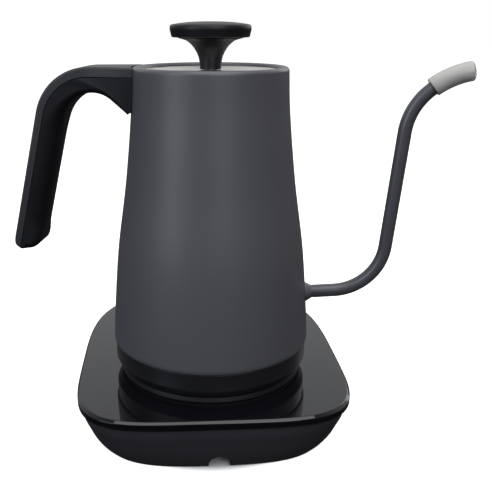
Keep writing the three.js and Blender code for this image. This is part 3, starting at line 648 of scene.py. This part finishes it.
def make_handle():
    steps = (16, 34, 30)
    foot_steps = 12
    body_end = -38.0
    top = rail(0, 0, BEND, body_end, steps, foot_curve(FOOT["outer"], 0.0, STRIP["side"], True, foot_steps))
    seam_foot = top[-1][1]
    seam = rail(STRIP["top"], STRIP["side"], STRIP["radius"], body_end, steps,
                [(grip_line(STRIP["side"], z), z)
                 for z in np.linspace(FOOT["low"] + FOOT["outer"][1], seam_foot + 0.02, foot_steps)])
    edge, tight = 1.3, 0.35
    radii = [edge] * len(top) + [tight] * len(seam)
    points, faces = slab(top, seam, HANDLE["half_width"], radii)
    strip = rough_solid(flare(points), faces)
    mesh, _ = cut(strip, body_cutter(0.35))
    finished(mesh, "handle_strip", HANDLE_SATIN, "kettle", ["handle_top_strip"], 30)

    inside = STRIP["side"] + 0.25
    outer = rail(STRIP["top"] + 0.25, inside, STRIP["radius"] - 0.25, body_end, steps,
                 foot_curve(FOOT["outer"], inside, FOOT["middle"], True, foot_steps))
    centre = Vector(handle_bend(ARCH["below"], GRIP_THICK, ARCH["radius"]))
    lowest = math.pi - HANDLE["tilt"]

    def round_arch(a):
        return centre + Vector((math.cos(a), math.sin(a))) * ARCH["radius"]

    corner = Vector((-46.2, JOINT + 140.1))  # the arm's lower corner at the body
    arch_last = round_arch(ARCH["end"])
    inner = [(body_end, corner.y + 4.5)]
    inner += [tuple(corner.lerp(arch_last, t)) for t in np.linspace(0, 1, steps[0] - 1)]
    inner += [tuple(round_arch(a)) for a in np.linspace(ARCH["end"], lowest, steps[1] + 2)[1:-1]]
    foot_top = FOOT["low"] + FOOT["inner"][1]
    inner += [(grip_line(GRIP_THICK, z), z)
              for z in np.linspace(round_arch(lowest).y, foot_top, steps[2], endpoint=False)]
    inner += foot_curve(FOOT["inner"], GRIP_THICK, FOOT["middle"] + 0.4, False, foot_steps)
    # The inner rims are sharp at the body, a little softer under the arch and round along the grip.
    at_body, under_arch, along_grip, at_foot = 1, 2.2, 7.4, 3.4
    soft = []
    for x, z in inner:
        down = min(max((HANDLE["top"] - ARCH["below"] - z) / 26, 0), 1)
        from_body = min(max((corner.x - x) / 16, 0), 1)
        above_foot = min(max((z - FOOT["low"]) / 16, 0), 1)
        rim = at_body + (under_arch + along_grip * down * down * (3 - 2 * down)) * from_body
        soft.append(min(rim, at_foot + 7.2 * above_foot))
    radii = [tight] * len(outer) + soft[::-1]
    for k in range(foot_steps):
        radii[len(outer) - 1 - k] = tight + (at_foot - tight) * (1 - k / (foot_steps - 1)) ** 2
    points, faces = slab(outer, inner, HANDLE["half_width"], radii, 8)
    grip = rough_solid(flare(points), faces)
    mesh, _ = cut(grip, body_cutter(0.35))
    finished(mesh, "handle_grip_soft", HANDLE_SOFT, "kettle", ["handle_grip"], 30)


def make_lid():
    under = LID_TOP - 1.4
    plate = rounded([
        (0, under, 0), (39, under, 0.3), (40, under + 0.5, 0.4), (39.7, LID_TOP, 0.5), (34.4, LID_TOP, 0.4),
        (34.1, LID_TOP - 0.25, 0.3), (0, LID_TOP - 0.25, 0),
    ], 5, closed=False)
    points, faces = lathed(plate, 180, closed=False)
    lid = rough_solid(points, faces)
    slots = []
    for start, end in ((146, 159), (163, 170)):
        slots.append(arc_slot(36.6, 0.75, math.radians(start), math.radians(end)))
    mesh, _ = cut(lid, *slots)
    finished(mesh, "lid_disc", STEEL, "lid", ["lid_plate"], 30)

    cup_low, cup_high = low("lid_skirt").z, high("lid_skirt").z
    cup = rounded([
        (0, cup_low, 0), (37.7, cup_low, 1.0), (37.7, cup_high, 0.2), (36.5, cup_high, 0.2),
        (36.5, cup_low + 1.2, 0.8), (0, cup_low + 1.2, 0),
    ], 5, closed=False)
    points, faces = lathed(cup, closed=False)
    body = rough_solid(points, faces)
    holes = []
    for i in range(6):
        a = math.pi * i / 3
        profile = [(0, cup_low - 1), (2.2, cup_low - 1), (2.2, cup_low + 3), (0, cup_low + 3)]
        holes.append(rough_solid(*lathed(profile, 24, centre=(24 * math.cos(a), 24 * math.sin(a)))))
    mesh, _ = cut(body, *holes)
    finished(mesh, "lid_cup", NYLON, "lid", ["lid_skirt"], 30)

    seal = rounded([
        (38, JOINT + 151.5, 0.2), (40.3, JOINT + 153, 0.5), (39.2, JOINT + 155, 0.4),
        (40.3, JOINT + 157, 0.5),
        (38, JOINT + 159, 0.2),
    ], 5)
    points, faces = lathed(seal)
    piece("lid_gasket", points, faces, SEAL, "lid", ["lid_seal"], 60)


def arc_slot(radius, half, start, end):
    """A cutter for an arc-shaped slot with round ends through the lid."""
    ring = []
    for a in np.linspace(start, end, 12):
        ring.append(((radius + half) * math.cos(a), (radius + half) * math.sin(a)))
    for a in np.linspace(0, math.pi, 7)[1:-1]:
        centre = Vector((radius * math.cos(end), radius * math.sin(end)))
        out = Matrix.Rotation(end + a, 2) @ Vector((half, 0))
        ring.append(tuple(centre + out))
    for a in np.linspace(end, start, 12):
        ring.append(((radius - half) * math.cos(a), (radius - half) * math.sin(a)))
    for a in np.linspace(math.pi, 2 * math.pi, 7)[1:-1]:
        centre = Vector((radius * math.cos(start), radius * math.sin(start)))
        out = Matrix.Rotation(start + a, 2) @ Vector((half, 0))
        ring.append(tuple(centre + out))
    count = len(ring)
    points = [(x, y, LID_TOP - 4) for x, y in ring] + [(x, y, LID_TOP + 3) for x, y in ring]
    faces = grid_faces(2, count)
    faces += [tuple(range(count)), tuple(range(2 * count - 1, count - 1, -1))]
    return rough_solid(points, faces)


def make_knob():
    base = low("knob_stem").z
    split = high("knob_stem").z
    flare_side = spline([(6.1, 0), (6.4, 4), (7.4, 7.8), (9.8, 12.2), (13.2, 15.4), (16.2, 16.6)], 40)
    stem = [(1.8, base), (5.9, base), *[(r, z + base) for r, z in flare_side[1:]], (18.6, split - 0.15),
            (18.6, split), (1.8, split)]
    points, faces = lathed(stem, 96)
    piece("knob_neck", points, faces, KNOB_BLACK, "lid", ["knob_stem"], 50)

    under = low("knob_disc").z
    disc = rounded([
        (0, under, 0), (21.2, under, 0), (22.3, under + 0.2, 0.9), (23.35, under + 4.6, 6),
        (23.1, under + 6.2, 1.2),
    ], 8, closed=False)
    dome = [(22.6, under + 6.9), (21.4, under + 7.2), (18, under + 7.75), (13, under + 8.3),
            (7, under + 8.62), (0, under + 8.7)]
    profile = disc + dome
    points, faces = lathed(profile, 144, closed=False)
    piece("knob_cap", points, faces, KNOB_BLACK, "lid", ["knob_disc"], 60)


# ---------------------------------------------------------------- power base
NOTCH = {"x": 1.2, "half_width": 6.2, "height": 9.4}


def make_base():
    plate = rounded([
        (3.2, PLATE_UNDER, 0), (0.8, PLATE_UNDER, 0.5), (0, PLATE_UNDER + 1.2, 0.7),
        (0, PLATE_TOP - 1.2, 0.5), (1.3, PLATE_TOP, 0.9), (4, PLATE_TOP, 0),
    ], 6, closed=False)
    profile = [(None, PLATE_UNDER), *plate, (None, PLATE_TOP)]
    points, faces = swept(profile, closed=False)
    made = rough_solid(points, faces, BASE_TURN)
    tower_hole = rough_solid(*lathed([(0, 20), (17.6, 20), (17.6, 60), (0, 60)], 96))
    panel_hole = box_solid((0, 95, PLATE_TOP), (97, 31, 2.2), BASE_TURN)
    mesh, _ = cut(made, tower_hole, panel_hole)
    finished(mesh, "gloss_plate", PLATE_GLOSS, "base", ["base_plate"], 30)

    seat = rounded([
        (46, PLATE_TOP + GAP, 0.2), (57.2, PLATE_TOP + GAP, 0.2), (57, PLATE_TOP + 1.2, 0.4),
        (56.2, SEAT_TOP, 0.35), (49, SEAT_TOP, 0.6),
    ], 6)
    points, faces = lathed(seat, 192)
    piece("seat_rim", points, faces, SEAT_BLACK, "base", ["seat_ring"], 40)

    top = PLATE_UNDER - GAP
    outside = spline([(1.7, top), (2.4, 25), (4.3, 18.5), (6.5, 11.4), (9.2, 5), (11.5, 0.8)], 40)
    inside = [(inset + 2.4, z) for inset, z in outside[::4]]
    profile = [*outside, *inside[::-1]]
    points, faces = swept(profile)
    made = rough_solid(points, faces)
    half, height = NOTCH["half_width"], NOTCH["height"]
    arch = [(-half, -3), *[(half * math.cos(a), height - half + half * math.sin(a))
                           for a in np.linspace(math.pi, 0, 25)], (half, -3)]
    count = len(arch)
    points = [(NOTCH["x"] + x, -90, z) for x, z in arch] + [(NOTCH["x"] + x, -50, z) for x, z in arch]
    faces = grid_faces(2, count) + [tuple(range(count)), tuple(range(2 * count - 1, count - 1, -1))]
    mesh, _ = cut(made, rough_solid(points, faces))
    mesh.transform(Matrix.Rotation(BASE_TURN, 4, "Z"))
    finished(mesh, "lower_housing", HOUSING_MATTE, "base", ["base_housing"], 30)


def make_collar():
    tower_top = high("base_connector").z
    collar = rounded([
        (17.8, PLATE_TOP + GAP, 0.2), (27, PLATE_TOP + GAP, 0.3), (26.4, PLATE_TOP + 2.2, 1.2),
        (20.2, PLATE_TOP + 4, 1.0), (17.8, PLATE_TOP + 4, 0.3),
    ], 5)
    points, faces = lathed(collar, 96)
    piece("tower_collar", points, faces, NYLON, "collar", ["splash_collar"], 40)

    floor = tower_top - 6.5
    tower = rounded([
        (0, 22, 0), (23, 22, 0.3), (23, PLATE_UNDER - GAP, 0.3), (17.2, PLATE_UNDER - GAP, 0),
        (17.2, tower_top, 1.0), (13.4, tower_top, 0.3), (13.4, floor, 0), (10.6, floor, 0),
        (10.6, tower_top, 0.3), (8.4, tower_top, 0.3), (8.4, floor, 0), (5.6, floor, 0),
        (5.6, tower_top, 0.3), (3, tower_top, 0.4), (3, floor, 0), (0, floor, 0),
    ], 4, closed=False)
    points, faces = lathed(tower, 96, closed=False)
    piece("power_tower", points, faces, NYLON, "base", ["base_connector"], 35)


def make_underside_of_base():
    cover = rounded([
        (30, CAVITY, 0), (10.6, CAVITY, 0.4), (9.9, CAVITY + 2, 0.3), (30, CAVITY + 2, 0),
    ], 4, closed=False)
    profile = [(None, CAVITY), *cover, (None, CAVITY + 2)]
    points, faces = swept(profile, closed=False)
    made = rough_solid(points, faces)
    holes = [rough_solid(*lathed([(0, 7), (22, 7), (22, 13), (0, 13)], 72))]
    for node in SCREWS:
        at = Matrix.Rotation(-BASE_TURN, 3, "Z") @ middle(node)
        holes.append(rough_solid(*lathed([(0, 7), (1.8, 7), (1.8, 13), (0, 13)], 20, centre=(at.x, at.y))))
    gland = Matrix.Rotation(-BASE_TURN, 3, "Z") @ middle("cord_gland")
    holes.append(rough_solid(*lathed([(0, 7), (4.9, 7), (4.9, 13), (0, 13)], 40, centre=(gland.x, gland.y))))
    mesh, _ = cut(made, *holes)
    mesh.transform(Matrix.Rotation(BASE_TURN, 4, "Z"))
    plate = finished(mesh, "bottom_plate", HOUSING_MATTE, "base", ["bottom_cover"], 30)

    hub = rounded([
        (0, 0, 0), (34, 0, 0.6), (34, 2, 0.6), (24, 2.6, 1.2), (24, CAVITY, 0.6), (22, CAVITY + 0.4, 0.2),
        (22, 2, 0.8), (0, 2, 0),
    ], 5, closed=False)
    points, faces = lathed(hub, 96, closed=False)
    piece("cord_hub", points, faces, HOUSING_MATTE, "base", [], 35)
    for number in range(1, 5):
        at = middle(f"foot_{number}")
        leg = rounded([(0, 2, 0), (7.6, 2, 0.4), (8.2, CAVITY, 0.3), (0, CAVITY, 0)], 4, closed=False)
        points, faces = lathed(leg, 40, closed=False, centre=(at.x, at.y))
        piece(f"cover_leg_{number}", points, faces, HOUSING_MATTE, "base", [], 35)
        sole = rounded([(0, 0, 0), (6.6, 0, 0.5), (7, 1.7, 0.3), (0, 1.7, 0)], 4, closed=False)
        points, faces = lathed(sole, 40, closed=False, centre=(at.x, at.y))
        piece(f"rubber_foot_{number}", points, faces, RUBBER, "base", [f"foot_{number}"], 35)
    return plate


SCREWS = [f"base_screw_{n}" for n in range(1, 5)]


def make_gland():
    at = middle("cord_gland")
    base = low("cord_gland").z
    profile = rounded([
        (3.4, base, 0.5), (6.6, base, 0.6), (6.6, CAVITY - GAP, 0.2), (4.6, CAVITY - GAP, 0.2),
        (4.6, CAVITY + 6, 0.4), (3.4, CAVITY + 6, 0.2),
    ], 5)
    points, faces = lathed(profile, 40, centre=(at.x, at.y))
    piece("gland_bush", points, faces, RUBBER, "base", ["cord_gland"], 35)


def make_panel():
    """The touch panel on the far side: a flush dark window with plain marks laid into it."""
    size = (96, 30, 0.8)
    corners = rounded([(-48, 80, 1.2), (48, 80, 1.2), (48, 110, 1.2), (-48, 110, 1.2)], 6)
    count = len(corners)
    top = PLATE_TOP - 0.02
    inset = [(x * (1 - 0.3 / 48), 95 + (y - 95) * (1 - 0.3 / 15)) for x, y in corners]
    rows = [(corners, top - size[2]), (corners, top - 0.3), (inset, top)]
    points = [(x, y, z) for ring, z in rows for x, y in ring]
    faces = grid_faces(3, count) + [tuple(range(count)), tuple(range(3 * count - 1, 2 * count - 1, -1))]
    piece("control_window", points, faces, GLASS, "base", ["touch_panel"], 25, BASE_TURN)


def flat_mark(name, loops, z):
    """Thin marks on the panel from closed loops of points, each a raised sheet 0.06 mm high."""
    points, faces = [], []
    for loop in loops:
        start, count = len(points), len(loop)
        points += [(x, y, z) for x, y in loop] + [(x, y, z + 0.06) for x, y in loop]
        for i in range(count):
            j = (i + 1) % count
            faces.append((start + i, start + j, start + count + j, start + count + i))
        faces.append(tuple(range(start, start + count)))
        faces.append(tuple(range(start + 2 * count - 1, start + count - 1, -1)))
    return piece(name, points, faces, MARKS, "base", [], 30, BASE_TURN)


def ring_loop(x, y, radius, width, start=0.0, end=2 * math.pi, steps=40):
    """A closed loop round an arc-shaped band."""
    outside = [(x + radius * math.cos(a), y + radius * math.sin(a)) for a in np.linspace(start, end, steps)]
    inner = radius - width
    inside = [(x + inner * math.cos(a), y + inner * math.sin(a)) for a in np.linspace(end, start, steps)]
    return outside + inside


def bar(x, y, dx, dy):
    corners = ((-1, -1), (1, -1), (1, 1), (-1, 1))
    return [(x + across * dx / 2, y + along * dy / 2) for across, along in corners]


def make_marks():
    z = PLATE_TOP - 0.02
    loops = []
    full = 2 * math.pi - 0.02
    for x in (-38, -25, 25, 38):
        loops.append(ring_loop(x, 95, 4.6, 0.35, 0.0, full))
    loops.append(ring_loop(38, 95, 2.1, 0.45, math.radians(-235), math.radians(55), 24))
    loops.append(bar(38, 96.6, 0.45, 2.0))
    loops.append(bar(25, 95, 3.4, 0.45))
    loops.append(bar(25, 95.97, 0.45, 1.45))
    loops.append(bar(25, 94.03, 0.45, 1.45))
    loops.append(bar(-25, 95, 3.4, 0.45))
    loops.append(ring_loop(-38, 95, 1.9, 0.4, 0.0, full, 24))
    flat_mark("panel_symbols", loops, z)
    digits = []
    for x in (-9.5, -1.5, 6.5):
        digits += seven_segments(x, 95, 5.0, 9.0, 0.8)
    digits.append(ring_loop(11.8, 99.2, 0.9, 0.35, 0.0, full, 16))
    flat_mark("panel_digits", digits, z)


def seven_segments(x, y, width, height, thick):
    """The bars of one figure eight in a plain numeric display."""
    gap = 0.25
    level = [bar(x, y + k * (height - thick) / 2, width - 2 * (thick + gap), thick) for k in (-1, 0, 1)]
    upright = []
    for side in (-1, 1):
        for half in (-1, 1):
            place = (x + side * (width - thick) / 2, y + half * height / 4)
            upright.append(bar(*place, thick, height / 2 - thick - gap))
    return level + upright


# ---------------------------------------------------------------- carried-over CAD nodes
def dress(node, finish):
    """Gives a CAD node that stays a finished material."""
    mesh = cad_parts[node].data
    mesh.materials.clear()
    mesh.materials.append(finish)


def dress_frame():
    finishes = {
        "temperature_probe": PLAIN_STEEL, "heating_element": ALUMINIUM,
        "thermostat_left": ALUMINIUM, "thermostat_right": ALUMINIUM, "contact_ring_outer": BRASS,
        "contact_ring_inner": BRASS, "earth_pin": BRASS, "spout_strainer": PLAIN_STEEL,
        "handle_bracket": PLAIN_STEEL, "handle_screw_left": PLAIN_STEEL, "handle_screw_right": PLAIN_STEEL,
        "knob_screw": PLAIN_STEEL, "display_module": NYLON, "control_board": BOARD, "power_board": BOARD,
        "transformer": NYLON, "relay": NYLON, "capacitor": ALUMINIUM,
    }
    for screw in SCREWS:
        finishes[screw] = PLAIN_STEEL
    for node, finish in finishes.items():
        dress(node, finish)


# ---------------------------------------------------------------- stage
def make_floor():
    """A pale floor that the camera sees nearly white, dark close under the base as a painted shadow.

    It casts no light back up and doesn't show in reflections.
    """
    mesh = bpy.data.meshes.new("floor")
    half = 6.0
    corners = [(-half, -half, 0), (half, -half, 0), (half, half, 0), (-half, half, 0)]
    mesh.from_pydata(corners, [], [(0, 1, 2, 3)])
    floor = bpy.data.objects.new("floor", mesh)
    scene.collection.objects.link(floor)
    pale = material("pale_floor", (0.8, 0.8, 0.8), 0.8, mottle=0.01, bump=0.02, specular=0.0)
    nodes, links = pale.node_tree.nodes, pale.node_tree.links
    where = nodes.new("ShaderNodeTexCoord")
    distance = nodes.new("ShaderNodeVectorMath")
    distance.operation = "LENGTH"
    links.new(where.outputs["Object"], distance.inputs[0])
    # The glow fades to nothing within 65 to 74 mm of the middle. This is a painted shadow under the base,
    # because an emitting floor takes no real shadow.
    glow_with_painted_shadow = eased(nodes, links, distance.outputs["Value"], 0.065, 0.074, 0.0, 0.82)
    shader_of(pale).inputs["Emission Color"].default_value = (1, 1, 1, 1)
    links.new(glow_with_painted_shadow, shader_of(pale).inputs["Emission Strength"])
    mesh.materials.append(pale)
    floor.visible_diffuse = False
    floor.visible_glossy = False
    floor.visible_transmission = False


def area_light(name, turn, rise, distance, size, energy, color=(1, 1, 1), aim=(0, 0, 0.12)):
    """A soft panel: turn is its angle right of the camera and rise its height angle, in degrees."""
    data = bpy.data.lights.new(name, "AREA")
    data.shape = "RECTANGLE"
    data.size, data.size_y = size
    data.energy = energy
    data.color = color
    lamp = bpy.data.objects.new(name, data)
    angle = CAMERA["turn"] - math.pi / 2 + math.radians(turn)
    flat = distance * math.cos(math.radians(rise))
    lamp.location = (flat * math.cos(angle), flat * math.sin(angle), distance * math.sin(math.radians(rise)))
    lamp.rotation_euler = (Vector(aim) - lamp.location).to_track_quat("-Z", "Y").to_euler()
    scene.collection.objects.link(lamp)
    return lamp


def eased(nodes, links, value, start, end, low_value, high_value):
    """A value carried smoothly from one range to another."""
    node = nodes.new("ShaderNodeMapRange")
    node.interpolation_type = "SMOOTHSTEP"
    node.inputs["From Min"].default_value = start
    node.inputs["From Max"].default_value = end
    node.inputs["To Min"].default_value = low_value
    node.inputs["To Max"].default_value = high_value
    links.new(value, node.inputs["Value"])
    return node.outputs["Result"]


def make_world():
    """A studio whose walls are bright above the table, brighter behind it, and dark below."""
    world = bpy.data.worlds.new("studio")
    scene.world = world
    world.use_nodes = True
    nodes, links = world.node_tree.nodes, world.node_tree.links
    where = nodes.new("ShaderNodeTexCoord")
    split = nodes.new("ShaderNodeSeparateXYZ")
    links.new(where.outputs["Generated"], split.inputs["Vector"])
    height = eased(nodes, links, split.outputs["Z"], -0.05, 0.3, STUDIO["below"], STUDIO["front"])
    behind = eased(nodes, links, split.outputs["Y"], -0.1, 0.75, 1.0, STUDIO["back"] / STUDIO["front"])
    total = nodes.new("ShaderNodeMath")
    total.operation = "MULTIPLY"
    links.new(height, total.inputs[0])
    links.new(behind, total.inputs[1])
    around = nodes["Background"]
    around.inputs["Color"].default_value = (0.97, 0.985, 1.0, 1)
    links.new(total.outputs["Value"], around.inputs["Strength"])
    white = nodes.new("ShaderNodeBackground")
    white.inputs["Color"].default_value = (1, 1, 1, 1)
    path = nodes.new("ShaderNodeLightPath")
    either = nodes.new("ShaderNodeMixShader")
    links.new(path.outputs["Is Camera Ray"], either.inputs["Fac"])
    links.new(around.outputs["Background"], either.inputs[1])
    links.new(white.outputs["Background"], either.inputs[2])
    links.new(either.outputs["Shader"], nodes["World Output"].inputs["Surface"])


STUDIO = {"below": 0.02, "front": 0.3, "back": 0.85}


def make_light():
    make_world()
    area_light("overhead", 10, 74, 1.5, (1.4, 1.2), 13)
    area_light("left_front", -50, 26, 1.4, (0.7, 1.0), 6, (0.86, 0.93, 1.0))
    area_light("right_front", 18, 34, 1.5, (0.5, 0.9), 6, (0.93, 0.96, 1.0))
    area_light("right_back", 140, 26, 1.5, (0.5, 0.7), 1.6)


CAMERA = {"turn": math.radians(6), "pitch": math.radians(17.41), "back": 0.42477, "side": 0.000247,
          "above_floor": 0.24716, "lens": 52.43, "shift": 0.0711}


def make_camera():
    data = bpy.data.cameras.new("camera")
    data.sensor_width = 36
    data.lens = CAMERA["lens"]
    data.shift_x = CAMERA["shift"]
    data.clip_start = 0.01
    camera = bpy.data.objects.new("camera", data)
    turn = Matrix.Rotation(CAMERA["turn"], 3, "Z")
    camera.location = turn @ Vector((CAMERA["side"], -CAMERA["back"], CAMERA["above_floor"]))
    pitch = CAMERA["pitch"]
    forward = turn @ Vector((0, math.cos(pitch), -math.sin(pitch)))
    camera.rotation_mode = "QUATERNION"
    camera.rotation_quaternion = forward.to_track_quat("-Z", "Y")
    scene.collection.objects.link(camera)
    scene.camera = camera


make_camera()
make_light()
make_floor()
scene.view_settings.view_transform = "Standard"

make_body()
make_underside()
make_spout()
make_cap()
make_handle()
make_lid()
make_knob()
make_base()
make_collar()
make_underside_of_base()
make_gland()
make_panel()
make_marks()
dress_frame()
